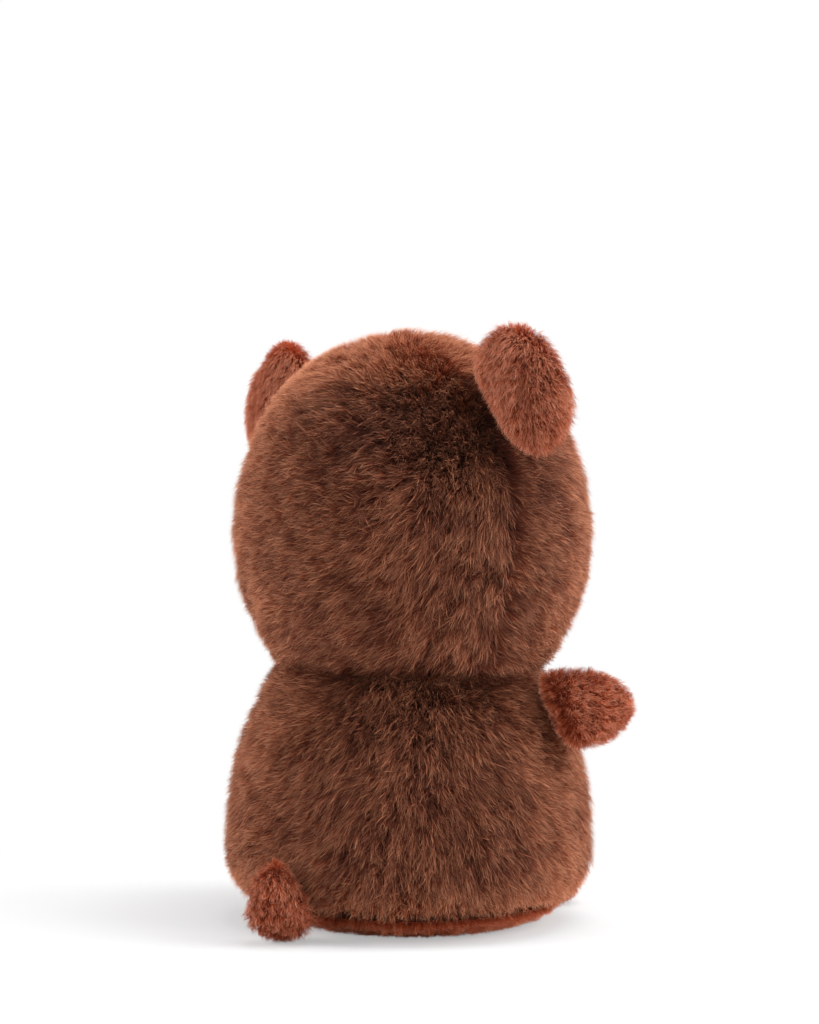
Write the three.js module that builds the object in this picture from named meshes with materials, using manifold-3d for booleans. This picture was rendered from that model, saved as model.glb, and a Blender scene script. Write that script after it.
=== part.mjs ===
// A small seated plush bear with its back to +Y and its belly to -Y, standing on z = 0. Millimetres, +Z up.
// Sewn covers of long brown pile and short rust pile go round fibrefill, with a bag of pellets low in it.
// The left side is the bear's own left, at +X.
import * as THREE from 'three';
import { mergeVertices } from 'three/addons/utils/BufferGeometryUtils.js';
import Module from 'manifold-3d';

const wasm = await Module();
wasm.setup();

// Clearances
const seamGap = 0.3; // between two pieces that are sewn or pressed together
const floorClearance = 0.4; // under the feet and the tail, so that the base alone carries the bear

// Fabrics, as thick as their backing and pile together
const longPile = 4;
const shortPile = 2.4;
const bagCloth = 0.8;

// Body
const neckHeight = 62;
const bodyHalfWidth = 45.5;
const bodyFront = 42;
const bodyBack = 45;
const bodyWidestHeight = 19;
const bodyTaperHeight = 62; // from the widest level to where the taper above it would close
const bodyHemDepth = 22; // the same below it, cut off flat by the floor
const bodySideSeam = -8; // y of the plane in which the belly meets the back
const baseSeamHeight = 5;

// Head
const headHalfWidth = 46.5;
const headFront = 42;
const headBack = 42;
const headWidestRise = 34; // above the neck
const headCrownHeight = 50; // from the widest level to the crown
const headChinDepth = 49.5; // from the widest level to where the chin would close, below the neck
const headSideSeam = 8.5; // y of the seam that runs from ear to ear
const headTurn = -7; // degrees that the head is turned on the body at rest, here towards its own right

// Neck
const neckWedge = 5; // degrees that each side slopes away, so that the head can nod
const neckBallRadius = 14;

// Arms
const armHeight = 51.3;
const armAngle = -8; // degrees round from the bear's side towards its back
const armForwardSweep = 32; // degrees that the arm points forward of straight out from its root
const armRootRadius = 6.2;
const armReach = 15.7; // from the hinge line to the tip
const armHalfHeight = 9.8;
const armHalfThickness = 7.4;
const armTipRise = 2.9; // how far the arm's tip stands above the middle of its root

// Ears
const earAngle = 35.4; // degrees up from the widest level to the middle of the ear
const earHalfWidth = 17;
const earReach = 16.5; // from the hinge line to the top of the rim
const earThickness = 8;
const earOutlinePower = 2.4;
const earCup = 2.6; // how far the rim curls forward
const earTwist = 3; // degrees by which the crown end of its base is turned towards the back
const earLean = 6; // degrees by which it leans forward at rest
const earRootClearance = 0.5;

// Tail
const tailHeight = 10.4;
const tailRootRadius = 3.6;
const tailReach = 8.2;
const tailHalfHeight = 10.5;
const tailHalfWidth = 8.4;
const tailFlare = 0.5; // share by which its foot is wider than its middle, and its top narrower
const tailDroop = 0.9;
const tailSlope = 0.42; // how far its upper part leans out for each unit of height
const tailTurn = 26; // degrees that it lies towards the bear's right

// Feet
const footSpacing = 28; // between the two middles
const footHeight = 6.4;
const footHalfWidth = 9.5;
const footHalfHeight = 7.5;
const footHalfLength = 11;
const footSeatOut = 0.5; // how far its middle lies outside the belly's surface

// Muzzle, nose and mouth
const muzzleRise = 22; // above the neck
const muzzleHalfWidth = 13;
const muzzleHalfHeight = 9.5;
const muzzleDepth = 8.5;
const noseHalfWidth = 4.6;
const noseHalfHeight = 3;
const noseAboveMuzzle = 3.4;
const embroideryHeight = 1.3;
const mouthWidth = 9;
const mouthThread = 1.2;

// Safety eyes and their washers
const eyeSpacing = 34;
const eyeRise = 34; // above the neck
const eyeRadius = 4;
const eyeDomeHeight = 2.4;
const eyeSeatDepth = 1.2; // how far the pile is parted under the eye
const stemRadius = 1.7;
const stemLength = 9;
const washerRadius = 5.4;
const washerThickness = 1.2;
const washerSetBack = 0.8; // room for the curve of the cover in front of it

// Pellet bag
const bagHeight = 17;
const bagEdgeGap = 0.6; // between the two sewn halves, where the cloth ends lie

// Fineness of the meshes
const roundSegments = 36;
const innerSegments = 24;
const coverLevels = 18;
const innerLevels = 12;
const limbSegments = 18;
const limbStations = 10;

const brownPlush = new THREE.MeshStandardMaterial({ color: 0x7b4632, roughness: 0.95, metalness: 0 });
const rustPlush = new THREE.MeshStandardMaterial({ color: 0xa95636, roughness: 0.95, metalness: 0 });
const fibrefill = new THREE.MeshStandardMaterial({ color: 0xf1efe9, roughness: 1, metalness: 0 });
const calico = new THREE.MeshStandardMaterial({ color: 0xe4ddcc, roughness: 0.95, metalness: 0 });
const pelletPlastic = new THREE.MeshStandardMaterial({ color: 0xdfe3e2, roughness: 0.5, metalness: 0 });
const eyePlastic = new THREE.MeshStandardMaterial({ color: 0x0d0b0a, roughness: 0.08, metalness: 0 });
const washerPlastic = new THREE.MeshStandardMaterial({ color: 0xe9e9e4, roughness: 0.5, metalness: 0 });
const darkThread = new THREE.MeshStandardMaterial({ color: 0x2a1812, roughness: 0.7, metalness: 0 });

const radians = THREE.MathUtils.degToRad;
const signedPower = (value, power) => Math.sign(value) * Math.abs(value) ** power;
const taper = (share, power) => Math.max(0, 1 - Math.min(1, Math.abs(share)) ** power) ** (1 / power);

// A stuffed round form about the z axis. Its plan is a superellipse, and it tapers by a power above and below
// its widest level.
class RoundForm {
  constructor(sizes) {
    Object.assign(this, sizes);
  }

  inset(by) {
    return new RoundForm({
      ...this,
      halfWidth: this.halfWidth - by,
      front: this.front - by,
      back: this.back - by,
      rise: this.rise - by,
      drop: this.drop - by,
    });
  }

  share(z) {
    const above = z > this.widest;
    const distance = (z - this.widest) / (above ? this.rise : this.drop);
    return taper(distance, above ? this.crownPower : this.hemPower);
  }

  // The point on the surface at an angle counterclockwise from +X and a height
  point(angle, z) {
    const share = this.share(z);
    const depth = Math.sin(angle) > 0 ? this.back : this.front;
    const x = this.halfWidth * signedPower(Math.cos(angle), 2 / this.planPower) * share;
    const y = depth * signedPower(Math.sin(angle), 2 / this.planPower) * share;
    return new THREE.Vector3(x, y, z);
  }

  // The point on the front of the surface at a given x and height
  frontPoint(x, z) {
    const share = this.share(z);
    const across = x / (this.halfWidth * share);
    return new THREE.Vector3(x, -this.front * share * taper(across, this.planPower), z);
  }

  // The outward direction on the front of the surface
  frontNormal(x, z) {
    const step = 0.5;
    const alongX = this.frontPoint(x + step, z).sub(this.frontPoint(x - step, z));
    const alongZ = this.frontPoint(x, z + step).sub(this.frontPoint(x, z - step));
    return alongX.cross(alongZ).normalize();
  }

  // The whole form, closed at its two poles. Insets of one form have their rings at the same shares of its
  // height, so that they nest.
  solid(segments, levels) {
    const rings = [];
    for (let level = 1; level < levels; level++) {
      const rise = -Math.cos((Math.PI * level) / levels);
      const z = this.widest + rise * (rise > 0 ? this.rise : this.drop);
      rings.push(ring(segments, (turn) => this.point(turn, z)));
    }
    const bottom = new THREE.Vector3(0, 0, this.widest - this.drop);
    const top = new THREE.Vector3(0, 0, this.widest + this.rise);
    return solidOf(loft(rings, bottom, top));
  }
}

const bodyForm = new RoundForm({
  halfWidth: bodyHalfWidth,
  front: bodyFront,
  back: bodyBack,
  widest: bodyWidestHeight,
  rise: bodyTaperHeight,
  drop: bodyHemDepth,
  crownPower: 2.1,
  hemPower: 2.6,
  planPower: 2.15,
});

// The head is modelled from the neck up, in a group that stands on the neck
const headForm = new RoundForm({
  halfWidth: headHalfWidth,
  front: headFront,
  back: headBack,
  widest: headWidestRise,
  rise: headCrownHeight,
  drop: headChinDepth,
  crownPower: 2.05,
  hemPower: 2,
  planPower: 2.1,
});

function ring(count, pointAt) {
  return Array.from({ length: count }, (_, i) => pointAt((2 * Math.PI * i) / count));
}

// A closed mesh through rings of points that run counterclockwise about the way the rings advance, closed at
// each end by a fan to one point
function loft(rings, start, end) {
  const count = rings[0].length;
  const points = [start, ...rings.flat(), end];
  const last = points.length - 1;
  const at = (level, i) => 1 + level * count + (i % count);
  const faces = [];
  for (let i = 0; i < count; i++) {
    faces.push(0, at(0, i + 1), at(0, i));
    for (let level = 0; level < rings.length - 1; level++) {
      faces.push(at(level, i), at(level, i + 1), at(level + 1, i + 1));
      faces.push(at(level, i), at(level + 1, i + 1), at(level + 1, i));
    }
    faces.push(last, at(rings.length - 1, i), at(rings.length - 1, i + 1));
  }
  return new THREE.BufferGeometry().setFromPoints(points).setIndex(faces);
}

function solidOf(geometry) {
  const bare = geometry.clone();
  bare.deleteAttribute('normal');
  bare.deleteAttribute('uv');
  const merged = mergeVertices(bare, 1e-4);
  const vertProperties = new Float32Array(merged.attributes.position.array);
  const triVerts = new Uint32Array(merged.index.array);
  return new wasm.Manifold(new wasm.Mesh({ numProp: 3, vertProperties, triVerts }));
}

function geometryOf(solid) {
  const mesh = solid.getMesh();
  const position = new THREE.BufferAttribute(new Float32Array(mesh.vertProperties), 3);
  const geometry = new THREE.BufferGeometry().setAttribute('position', position);
  geometry.setIndex(new THREE.BufferAttribute(new Uint32Array(mesh.triVerts), 1));
  geometry.computeVertexNormals();
  return geometry;
}

function meshOf(name, shape, material) {
  const mesh = new THREE.Mesh(shape.isBufferGeometry ? shape : geometryOf(shape), material);
  mesh.name = name;
  return mesh;
}

// Everything on one side of a plane across an axis, as a large box
function halfSpace(axis, offset, side) {
  const extent = 500;
  const box = new THREE.BoxGeometry(extent, extent, extent);
  const shift = new THREE.Vector3();
  shift[axis] = offset + (side * extent) / 2;
  return solidOf(box.translate(shift.x, shift.y, shift.z));
}

// An ellipsoid with its poles along the third of its half sizes, coarser than a plain sphere
function ellipsoid(centre, half, segments, levels) {
  const shape = new THREE.SphereGeometry(1, segments, levels).rotateX(Math.PI / 2);
  shape.scale(half.x, half.y, half.z).translate(centre.x, centre.y, centre.z);
  return solidOf(shape);
}

// Cuts a cover at its sewn seams into left back, right back and front panels
function backAndFront(cover, sideSeam) {
  const back = cover.intersect(halfSpace('y', sideSeam + seamGap / 2, 1));
  return {
    backLeft: back.intersect(halfSpace('x', seamGap / 2, 1)),
    backRight: back.intersect(halfSpace('x', -seamGap / 2, -1)),
    front: cover.intersect(halfSpace('y', sideSeam - seamGap / 2, -1)),
  };
}

// All that lies past the sloped neck face of the body or the head, for it to be cut off there. The face falls
// away from the middle of the neck, so that the head can nod.
function beyondNeck(height, side) {
  const extent = 90;
  const start = height + (side * seamGap) / 2;
  const profile = [
    new THREE.Vector2(0, start),
    new THREE.Vector2(extent, start + side * extent * Math.tan(radians(neckWedge))),
    new THREE.Vector2(extent, height - side * extent),
    new THREE.Vector2(0, height - side * extent),
  ];
  if (side > 0) profile.reverse();
  return solidOf(new THREE.LatheGeometry(profile, roundSegments).rotateX(Math.PI / 2));
}

function neckBallPocket(height) {
  const radius = neckBallRadius + seamGap;
  const half = new THREE.Vector3(radius, radius, radius);
  return ellipsoid(new THREE.Vector3(0, 0, height), half, innerSegments, innerSegments / 2);
}

function makeBody() {
  const group = new THREE.Group();
  const pastNeck = beyondNeck(neckHeight, -1);
  const outer = bodyForm.solid(roundSegments, coverLevels).intersect(halfSpace('z', 0, 1)).subtract(pastNeck);
  const hollow = bodyForm.inset(longPile).solid(innerSegments, innerLevels);
  const cavity = hollow.intersect(halfSpace('z', shortPile, 1));
  const cover = outer.subtract(cavity);
  const panels = backAndFront(cover.intersect(halfSpace('z', baseSeamHeight + seamGap / 2, 1)), bodySideSeam);
  group.add(meshOf('back_panel_left', panels.backLeft, brownPlush));
  group.add(meshOf('back_panel_right', panels.backRight, brownPlush));
  group.add(meshOf('belly_panel', panels.front, brownPlush));
  const base = cover.intersect(halfSpace('z', baseSeamHeight - seamGap / 2, -1));
  group.add(meshOf('base_panel', base, rustPlush));

  const room = bodyForm.inset(longPile + seamGap);
  const bagLow = shortPile + seamGap;
  const bagTop = bagLow + bagHeight;
  let fill = room.solid(innerSegments, innerLevels).intersect(halfSpace('z', bagTop + seamGap, 1));
  fill = fill.subtract(pastNeck).subtract(neckBallPocket(neckHeight));
  group.add(meshOf('body_stuffing', fill, fibrefill));
  group.add(...makePelletBag(room, bagLow, bagTop));
  return group;
}

function makePelletBag(form, low, high) {
  const layer = (inset) => {
    const whole = form.inset(inset).solid(innerSegments, innerLevels);
    return whole.intersect(halfSpace('z', low + inset, 1)).intersect(halfSpace('z', high - inset, -1));
  };
  const cloth = layer(0).subtract(layer(bagCloth));
  const edge = (low + high) / 2;
  return [
    meshOf('pellet_bag_top', cloth.intersect(halfSpace('z', edge + bagEdgeGap / 2, 1)), calico),
    meshOf('pellet_bag_bottom', cloth.intersect(halfSpace('z', edge - bagEdgeGap / 2, -1)), calico),
    meshOf('pellet_fill', layer(bagCloth + seamGap), pelletPlastic),
  ];
}

function makeNeck() {
  const group = new THREE.Group();
  group.position.z = neckHeight;
  const ball = new THREE.SphereGeometry(neckBallRadius, innerSegments, innerSegments / 2);
  group.add(meshOf('neck_stuffing', ball.rotateX(Math.PI / 2), fibrefill));
  return group;
}

// Each foot is a stuffed stub, sewn all round to the belly and to the base
function makeFeet() {
  const group = new THREE.Group();
  const above = halfSpace('z', floorClearance, 1);
  const belly = bodyForm.inset(-seamGap).solid(roundSegments, coverLevels);
  for (const [side, sign] of [['left', 1], ['right', -1]]) {
    const middle = bodyForm.frontPoint((sign * footSpacing) / 2, footHeight);
    middle.y -= footSeatOut;
    const stub = (inset) => {
      const half = new THREE.Vector3(footHalfWidth - inset, footHalfLength - inset, footHalfHeight - inset);
      return ellipsoid(middle, half, limbSegments, limbStations);
    };
    const room = stub(shortPile).intersect(halfSpace('z', floorClearance + shortPile, 1));
    const cover = stub(0).intersect(above).subtract(room).subtract(belly);
    const fill = stub(shortPile + seamGap)
      .intersect(halfSpace('z', floorClearance + shortPile + seamGap, 1))
      .subtract(belly);
    group.add(meshOf(`${side}_foot_cover`, cover, rustPlush));
    group.add(meshOf(`${side}_foot_stuffing`, fill, fibrefill));
  }
  return group;
}

// A limb that lies along +x and hinges on the line x = 0. Its root is round about that line, so that it can
// swing without touching what it is sewn to. Its outline then swells and tapers to the tip, and may flare.
function limbSolid(limb, inset, segments, stations) {
  const root = limb.rootRadius - inset;
  const reach = limb.reach - inset;
  const halfHeight = limb.halfHeight - inset;
  const halfWidth = limb.halfWidth - inset;
  const rings = [];
  for (let station = 1; station < stations; station++) {
    const turn = (Math.PI * station) / stations;
    const x = (reach - root) / 2 - ((reach + root) / 2) * Math.cos(turn);
    const bulge = THREE.MathUtils.smoothstep(x, 0, reach * 0.5);
    const widthBehind = Math.sqrt(Math.max(0, root ** 2 - x ** 2));
    const widthAhead = THREE.MathUtils.lerp(root, halfWidth, bulge) * taper(x / reach, limb.tipPower);
    const width = x < 0 ? widthBehind : widthAhead;
    const height = halfHeight * (x < 0 ? taper(x / root, limb.rootPower) : taper(x / reach, limb.tipPower));
    const drop = limb.droop * Math.max(0, x / limb.reach);
    rings.push(
      ring(segments, (angle) => {
        const rise = signedPower(Math.sin(angle), 2 / limb.sectionPower);
        const flare = 1 - limb.flare * bulge * rise;
        const y = width * flare * signedPower(Math.cos(angle), 2 / limb.sectionPower);
        return new THREE.Vector3(x, y, height * rise - drop);
      }),
    );
  }
  return solidOf(loft(rings, new THREE.Vector3(-root, 0, 0), new THREE.Vector3(reach, 0, -limb.droop)));
}

// Leans a limb by a slope, as along what it is sewn to, and leaves its length level
function leaned(solid, slope) {
  const geometry = geometryOf(solid);
  geometry.applyMatrix4(new THREE.Matrix4().makeShear(0, 0, 0, 0, slope, 0));
  return solidOf(geometry);
}

// Splits a limb's hollow cover along its length into two sewn halves, one on each side of its hinge plane
function coverHalves(cover) {
  return [cover.intersect(halfSpace('y', seamGap / 2, 1)), cover.intersect(halfSpace('y', -seamGap / 2, -1))];
}

function makeArm(side, sign) {
  const angle = sign > 0 ? radians(armAngle) : Math.PI - radians(armAngle);
  const step = 1;
  const seat = bodyForm.point(angle, armHeight);
  const above = bodyForm.point(angle, armHeight + step);
  const along = above.sub(bodyForm.point(angle, armHeight - step)).normalize();
  const level = new THREE.Vector3(seat.x, seat.y, 0).normalize();
  const slope = along.dot(level) / along.z; // the hinge line leans in by this much for each unit it rises
  const outward = level.clone().multiplyScalar(along.z).setZ(-along.dot(level)).normalize();

  const group = new THREE.Group();
  group.position.copy(seat).addScaledVector(outward, armRootRadius + seamGap);
  group.rotation.z = Math.atan2(level.y, level.x) - sign * radians(armForwardSweep);
  const limb = {
    rootRadius: armRootRadius,
    reach: armReach,
    halfHeight: armHalfHeight,
    halfWidth: armHalfThickness,
    rootPower: 3.5,
    tipPower: 1.9,
    sectionPower: 2.2,
    flare: 0,
    droop: -armTipRise,
  };
  const outer = limbSolid(limb, 0, limbSegments, limbStations + 4);
  const hollow = limbSolid(limb, shortPile, limbSegments - 6, limbStations);
  const fill = limbSolid(limb, shortPile + seamGap, limbSegments - 6, limbStations);
  const [towardsY, awayFromY] = coverHalves(leaned(outer.subtract(hollow), slope));
  group.add(meshOf(`${side}_arm_back`, sign > 0 ? towardsY : awayFromY, rustPlush));
  group.add(meshOf(`${side}_arm_front`, sign > 0 ? awayFromY : towardsY, rustPlush));
  group.add(meshOf(`${side}_arm_stuffing`, leaned(fill, slope), fibrefill));
  return group;
}

function makeTail() {
  const group = new THREE.Group();
  const seat = bodyForm.point(Math.PI / 2, tailHeight);
  group.position.set(0, seat.y + tailRootRadius + seamGap, tailHeight);
  group.rotation.z = Math.PI / 2 + radians(tailTurn);
  const limb = {
    rootRadius: tailRootRadius,
    reach: tailReach,
    halfHeight: tailHalfHeight,
    halfWidth: tailHalfWidth,
    rootPower: 3,
    tipPower: 2.6,
    sectionPower: 2.1,
    flare: tailFlare,
    droop: tailDroop,
  };
  const above = (margin) => halfSpace('z', floorClearance - tailHeight + margin, 1);
  const hollow = limbSolid(limb, shortPile, limbSegments - 6, limbStations).intersect(above(shortPile));
  const fill = limbSolid(limb, shortPile + seamGap, limbSegments - 6, limbStations);
  const outer = limbSolid(limb, 0, limbSegments, limbStations + 2).intersect(above(0));
  const [left, right] = coverHalves(leaned(outer.subtract(hollow), tailSlope));
  group.add(meshOf('tail_right_panel', left, rustPlush));
  group.add(meshOf('tail_left_panel', right, rustPlush));
  const padding = fill.intersect(above(shortPile + seamGap));
  group.add(meshOf('tail_stuffing', leaned(padding, tailSlope), fibrefill));
  return group;
}

// One sewn half of an ear, in a frame with x along its base, y out from the head and z through it. Its rim
// curls towards -z, and its base follows the round of the head.
function earHalf(side, headRadius) {
  const half = earThickness / 2;
  const middle = earReach * 0.16;
  const spokes = 24;
  const rimShares = [0.35, 0.62, 0.82, 0.94, 1];
  const surface = (turn, share, level) => {
    const across = signedPower(Math.cos(turn), 2 / earOutlinePower) * share;
    const up = signedPower(Math.sin(turn), 2 / earOutlinePower) * share;
    const x = earHalfWidth * across;
    const base = -half - x ** 2 / (2 * headRadius);
    const y = middle + up * (up > 0 ? earReach - middle : middle - base);
    const curl = -earCup * (across ** 2 + Math.max(0, up) ** 2);
    return new THREE.Vector3(x, y, curl + side * (level * half * taper(share, 3.2) + seamGap / 2));
  };
  const outline = rimShares.map((share) => ring(spokes, (turn) => surface(side * turn, share, 1)));
  const inner = rimShares.map((share) => ring(spokes, (turn) => surface(side * turn, share, 0)));
  const rings = [...inner, ...outline.slice(0, -1).reverse()];
  return loft(rings, surface(0, 0, 0), surface(0, 0, 1));
}

function makeEar(side, sign) {
  const turn = radians(earAngle);
  const across = headForm.halfWidth * taper(headSideSeam / headForm.back, headForm.planPower);
  const profile = (angle) => {
    const x = across * signedPower(Math.cos(angle), 2 / headForm.crownPower);
    const z = headForm.widest + headForm.rise * signedPower(Math.sin(angle), 2 / headForm.crownPower);
    return new THREE.Vector3(sign * x, headSideSeam, z);
  };
  const seat = profile(turn);
  const step = 0.02;
  const along = profile(turn - step).sub(profile(turn + step)).normalize();
  const back = new THREE.Vector3(0, 1, 0);
  const outward = new THREE.Vector3().crossVectors(along, back).multiplyScalar(sign);
  const headRadius = (headForm.halfWidth + headForm.rise) / 2;

  const group = new THREE.Group();
  group.position.copy(seat).addScaledVector(outward, earThickness / 2 + earRootClearance);
  group.quaternion.setFromRotationMatrix(
    new THREE.Matrix4().makeBasis(new THREE.Vector3().crossVectors(outward, back), outward, back),
  );
  group.rotateY(-sign * radians(earTwist));
  group.rotateX(-radians(earLean));
  group.add(meshOf(`${side}_ear_back`, earHalf(1, headRadius), rustPlush));
  group.add(meshOf(`${side}_ear_front`, earHalf(-1, headRadius), rustPlush));
  return group;
}

// A rod along the line into the head at one eye, from one depth under the surface to another
function eyeRod(seat, radius, from, to) {
  const rod = new THREE.CylinderGeometry(radius, radius, to - from, limbSegments);
  rod.translate(0, -(from + to) / 2, 0);
  rod.applyQuaternion(seat.turn).translate(seat.point.x, seat.point.y, seat.point.z);
  return solidOf(rod);
}

function eyeSeats() {
  return [['left', 1], ['right', -1]].map(([side, sign]) => {
    const x = (sign * eyeSpacing) / 2;
    const turn = new THREE.Quaternion().setFromUnitVectors(
      new THREE.Vector3(0, 1, 0),
      headForm.frontNormal(x, eyeRise),
    );
    return { side, turn, point: headForm.frontPoint(x, eyeRise) };
  });
}

// A safety eye and the washer that locks its stem behind the cover, with their axis along y
function makeEye(seat) {
  const group = new THREE.Group();
  group.position.copy(seat.point);
  group.quaternion.copy(seat.turn);
  const dome = new THREE.EllipseCurve(0, -eyeSeatDepth + seamGap, eyeRadius, eyeDomeHeight, 0, Math.PI / 2);
  const stemEnd = -eyeSeatDepth - stemLength;
  const profile = [
    new THREE.Vector2(0, stemEnd),
    new THREE.Vector2(stemRadius, stemEnd),
    new THREE.Vector2(stemRadius, -eyeSeatDepth + seamGap),
    ...dome.getPoints(6).slice(0, -1),
    new THREE.Vector2(0, -eyeSeatDepth + seamGap + eyeDomeHeight),
  ];
  group.add(meshOf(`${seat.side}_eye`, solidOf(new THREE.LatheGeometry(profile, limbSegments)), eyePlastic));

  const washerFront = -longPile - washerSetBack - seamGap;
  const bore = stemRadius + seamGap;
  const washer = [
    new THREE.Vector2(bore, washerFront - washerThickness),
    new THREE.Vector2(washerRadius, washerFront - washerThickness),
    new THREE.Vector2(washerRadius, washerFront),
    new THREE.Vector2(bore, washerFront),
    new THREE.Vector2(bore, washerFront - washerThickness),
  ];
  const disc = solidOf(new THREE.LatheGeometry(washer, limbSegments));
  group.add(meshOf(`${seat.side}_eye_washer`, disc, washerPlastic));
  return group;
}

function makeHead() {
  const group = new THREE.Group();
  group.position.z = neckHeight;
  group.rotation.z = radians(headTurn);
  const seats = eyeSeats();
  const pastNeck = beyondNeck(0, 1);
  const outer = headForm.solid(roundSegments, coverLevels).subtract(pastNeck);
  const cover = outer.subtract(headForm.inset(longPile).solid(roundSegments, coverLevels));
  const panels = backAndFront(cover, headSideSeam);
  let face = panels.front;
  let fill = headForm.inset(longPile + seamGap).solid(roundSegments, coverLevels);
  fill = fill.subtract(pastNeck).subtract(neckBallPocket(0));

  const washerFront = longPile + washerSetBack;
  const washerBack = longPile + washerSetBack + washerThickness + 2 * seamGap;
  const proud = 3;
  for (const seat of seats) {
    face = face.subtract(eyeRod(seat, eyeRadius + seamGap, -proud, eyeSeatDepth));
    face = face.subtract(eyeRod(seat, stemRadius + seamGap, -proud, longPile + proud));
    fill = fill.subtract(eyeRod(seat, washerRadius + seamGap, -proud, washerBack));
    const depth = eyeSeatDepth + stemLength + seamGap;
    fill = fill.subtract(eyeRod(seat, stemRadius + seamGap, washerFront, depth));
    group.add(makeEye(seat));
  }
  group.add(meshOf('head_back_left', panels.backLeft, brownPlush));
  group.add(meshOf('head_back_right', panels.backRight, brownPlush));
  group.add(meshOf('face_panel', face, brownPlush));
  group.add(meshOf('head_stuffing', fill, fibrefill));
  group.add(...makeMuzzle());
  group.add(makeEar('left', 1), makeEar('right', -1));
  return group;
}

function makeMuzzle() {
  const middle = headForm.frontPoint(0, muzzleRise);
  const skull = headForm.inset(-seamGap).solid(roundSegments, coverLevels);
  const pad = (grow, segments, levels) => {
    const half = new THREE.Vector3(muzzleHalfWidth + grow, muzzleDepth + grow, muzzleHalfHeight + grow);
    return ellipsoid(middle, half, segments, levels);
  };
  const hollow = pad(-shortPile, limbSegments, limbStations);
  const cover = pad(0, limbSegments + 6, limbStations + 2).subtract(hollow);
  const fill = pad(-shortPile - seamGap, limbSegments, limbStations);
  const overlay = pad(embroideryHeight, limbSegments + 6, limbStations + 2).subtract(
    pad(seamGap, limbSegments + 6, limbStations + 2),
  );
  const prism = (shape) => {
    const block = new THREE.ExtrudeGeometry(shape, { depth: 40, bevelEnabled: false, curveSegments: 6 });
    return solidOf(block.rotateX(Math.PI / 2).translate(0, middle.y, muzzleRise));
  };
  const nose = new THREE.Shape();
  nose.absellipse(0, noseAboveMuzzle, noseHalfWidth, noseHalfHeight, 0, 2 * Math.PI);
  return [
    meshOf('muzzle_cover', cover.subtract(skull), rustPlush),
    meshOf('muzzle_stuffing', fill.subtract(skull), fibrefill),
    meshOf('nose_embroidery', overlay.intersect(prism(nose)), darkThread),
    meshOf('mouth_stitches', overlay.intersect(prism(mouthShape())), darkThread),
  ];
}

// An upright stitch under the nose that parts into two curved ones, as one flat outline
function mouthShape() {
  const half = mouthThread / 2;
  const top = noseAboveMuzzle - noseHalfHeight - seamGap;
  const arch = mouthWidth / 4;
  const fork = top - arch;
  const shape = new THREE.Shape();
  shape.moveTo(half, top);
  shape.lineTo(-half, top);
  shape.lineTo(-half, fork);
  shape.absarc(-arch, fork, arch - half, 0, -Math.PI, true);
  shape.lineTo(-2 * arch - half, fork);
  shape.absarc(-arch, fork, arch + half, -Math.PI, -0.22 * Math.PI, false);
  shape.absarc(arch, fork, arch + half, -0.78 * Math.PI, 0, false);
  shape.lineTo(2 * arch - half, fork);
  shape.absarc(arch, fork, arch - half, 0, -Math.PI, true);
  shape.closePath();
  return shape;
}

const bear = new THREE.Group();
bear.add(makeBody(), makeFeet(), makeNeck(), makeHead());
bear.add(makeArm('left', 1), makeArm('right', -1), makeTail());

export default bear;
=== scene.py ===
import bpy
import numpy as np
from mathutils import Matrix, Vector


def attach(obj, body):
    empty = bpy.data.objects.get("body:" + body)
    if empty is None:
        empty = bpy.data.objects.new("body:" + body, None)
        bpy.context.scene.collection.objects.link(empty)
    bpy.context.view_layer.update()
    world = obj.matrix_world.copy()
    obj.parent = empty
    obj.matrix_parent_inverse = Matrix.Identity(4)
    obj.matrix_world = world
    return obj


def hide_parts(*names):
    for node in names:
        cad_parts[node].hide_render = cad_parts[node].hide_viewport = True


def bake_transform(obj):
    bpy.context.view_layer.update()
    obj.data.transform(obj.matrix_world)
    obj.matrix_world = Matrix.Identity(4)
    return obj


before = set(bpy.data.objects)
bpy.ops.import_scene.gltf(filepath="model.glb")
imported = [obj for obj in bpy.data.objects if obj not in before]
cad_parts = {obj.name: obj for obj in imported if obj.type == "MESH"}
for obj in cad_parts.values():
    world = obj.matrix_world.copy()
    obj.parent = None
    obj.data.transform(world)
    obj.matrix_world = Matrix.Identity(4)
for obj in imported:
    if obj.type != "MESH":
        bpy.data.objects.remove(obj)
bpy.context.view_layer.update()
rng = np.random.default_rng(41)
mm = 0.001  # everything below is worked out in millimetres and goes into the meshes in metres
print('frame loaded')

# camera, floor and light

shot = dict(azimuth=220, distance=570, height=101, pixelsPerRadian=2280, axisPixel=411, frameWidth=819,
            frameHeight=1024)
turn = np.radians(shot['azimuth'])
toCamera = np.array([np.sin(turn), -np.cos(turn), 0])
toRight = np.array([np.cos(turn), np.sin(turn), 0])  # to the right in the picture
upward = np.array([0.0, 0, 1])
sides = dict(left=1, right=-1)  # the bear's own


def addObject(name, data):
    # an object with that data, linked into the scene
    made = bpy.data.objects.new(name, data)
    bpy.context.collection.objects.link(made)
    return made


cameraData = bpy.data.cameras.new('studio_camera')
cameraData.lens = 36 * shot['pixelsPerRadian'] / shot['frameHeight']
cameraData.shift_x = (shot['frameWidth'] / 2 - shot['axisPixel']) / shot['frameHeight']
camera = addObject('studio_camera', cameraData)
camera.location = (toCamera * shot['distance'] + upward * shot['height']) * mm
camera.rotation_euler = (np.pi / 2, 0, turn)
bpy.context.scene.camera = camera
bpy.context.scene.view_settings.view_transform = 'Standard'

studio = dict(left=12.0, right=16.0, top=12.0, front=0.6, sky=0.3, floorColour=0.9, floorSeen=0.85,
              clearShare=0.4, clearFrom=0.065, clearTo=0.16)

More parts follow.
